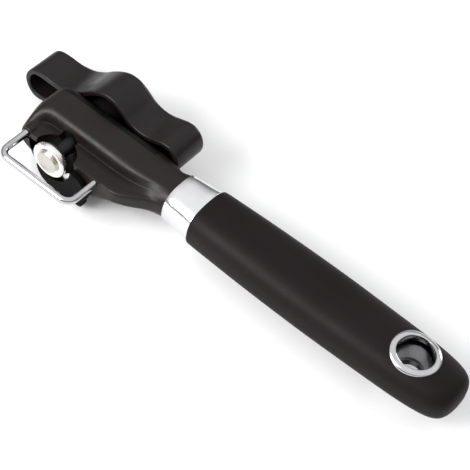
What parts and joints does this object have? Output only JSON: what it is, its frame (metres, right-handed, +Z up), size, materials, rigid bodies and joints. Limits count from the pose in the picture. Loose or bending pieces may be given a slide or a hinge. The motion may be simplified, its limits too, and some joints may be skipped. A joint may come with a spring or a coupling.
{
  "type": "manual side-cut can opener",
  "caption": "One-handled side-cut can opener: black head with a bright hub and bent wire guide, a large wavy turning knob, a bright ferrule and a soft barrel grip with a hanging eye",
  "frame": {"origin": "on the drive axle's axis, in the plane of the head's front face", "axes": "+X along the handle from the head to the hanging eye, +Y from the drive wheel's side to the knob, +Z up across the handle's thin section"},
  "size_m": [0.2105, 0.0564, 0.0314],
  "materials": {
    "head_plastic": "fine matte black moulding",
    "cover_plastic": "matte black moulding",
    "plate_steel": "stamped steel",
    "wire_chrome": "polished chrome",
    "pin_steel": "turned steel",
    "washer_brass": "plain brass",
    "cutter_steel": "ground steel",
    "bush_steel": "sintered steel, lightly oiled",
    "screw_steel": "zinc-plated steel",
    "axle_steel": "turned steel",
    "wheel_steel": "hardened dark steel",
    "hub_steel": "polished stainless steel",
    "washer_steel": "plain steel",
    "knob_plastic": "satin black moulding",
    "insert_steel": "plated steel",
    "clip_steel": "spring steel",
    "band_steel": "satin polished stainless steel",
    "core_plastic": "plain black moulding",
    "grip_rubber": "soft-touch black",
    "tube_metal": "dark grey metallic",
    "ring_chrome": "polished chrome"
  },
  "bodies": {
    "handle": {"head_body": "head_plastic", "back_cover": "head_plastic", "frame_plate": "plate_steel", "cutter_cover": "cover_plastic", "leg_sleeve": "head_plastic", "leg_collar": "head_plastic", "wire_guide": "wire_chrome", "cutter_stud": "pin_steel", "cutter_washer": "washer_brass", "stop_pin": "pin_steel", "cover_screw_end": "screw_steel", "cover_screw_neck": "screw_steel", "ferrule_band": "band_steel", "handle_core": "core_plastic", "handle_grip": "grip_rubber", "tang_pin_near": "pin_steel", "tang_pin_far": "pin_steel", "eyelet_tube": "tube_metal", "eyelet_ring_top": "ring_chrome", "eyelet_ring_bottom": "ring_chrome"},
    "bush": {"eccentric_bush": "bush_steel"},
    "drive": {"drive_axle": "axle_steel", "drive_wheel": "wheel_steel", "hub_flange": "hub_steel", "hub_button": "hub_steel", "front_washer": "washer_steel", "rear_washer": "washer_steel", "knob_shell": "knob_plastic", "knob_insert": "insert_steel", "axle_clip": "clip_steel", "knob_cap": "knob_plastic"},
    "cutter": {"cutter_wheel": "cutter_steel"}
  },
  "joints": [
    {"name": "bush_swing", "type": "hinge", "parent": "handle", "child": "bush", "pos_m": [-0.00133, 0.012, 0.00089], "axis": [0, -1, 0], "range_deg": [0, 100]},
    {"name": "knob_turn", "type": "hinge", "parent": "bush", "child": "drive", "pos_m": [0, 0.012, 0], "axis": [0, 1, 0], "continuous": true},
    {"name": "cutter_spin", "type": "hinge", "parent": "handle", "child": "cutter", "pos_m": [0.0105, -0.001, -0.007], "axis": [0, 1, 0], "continuous": true}
  ]
}
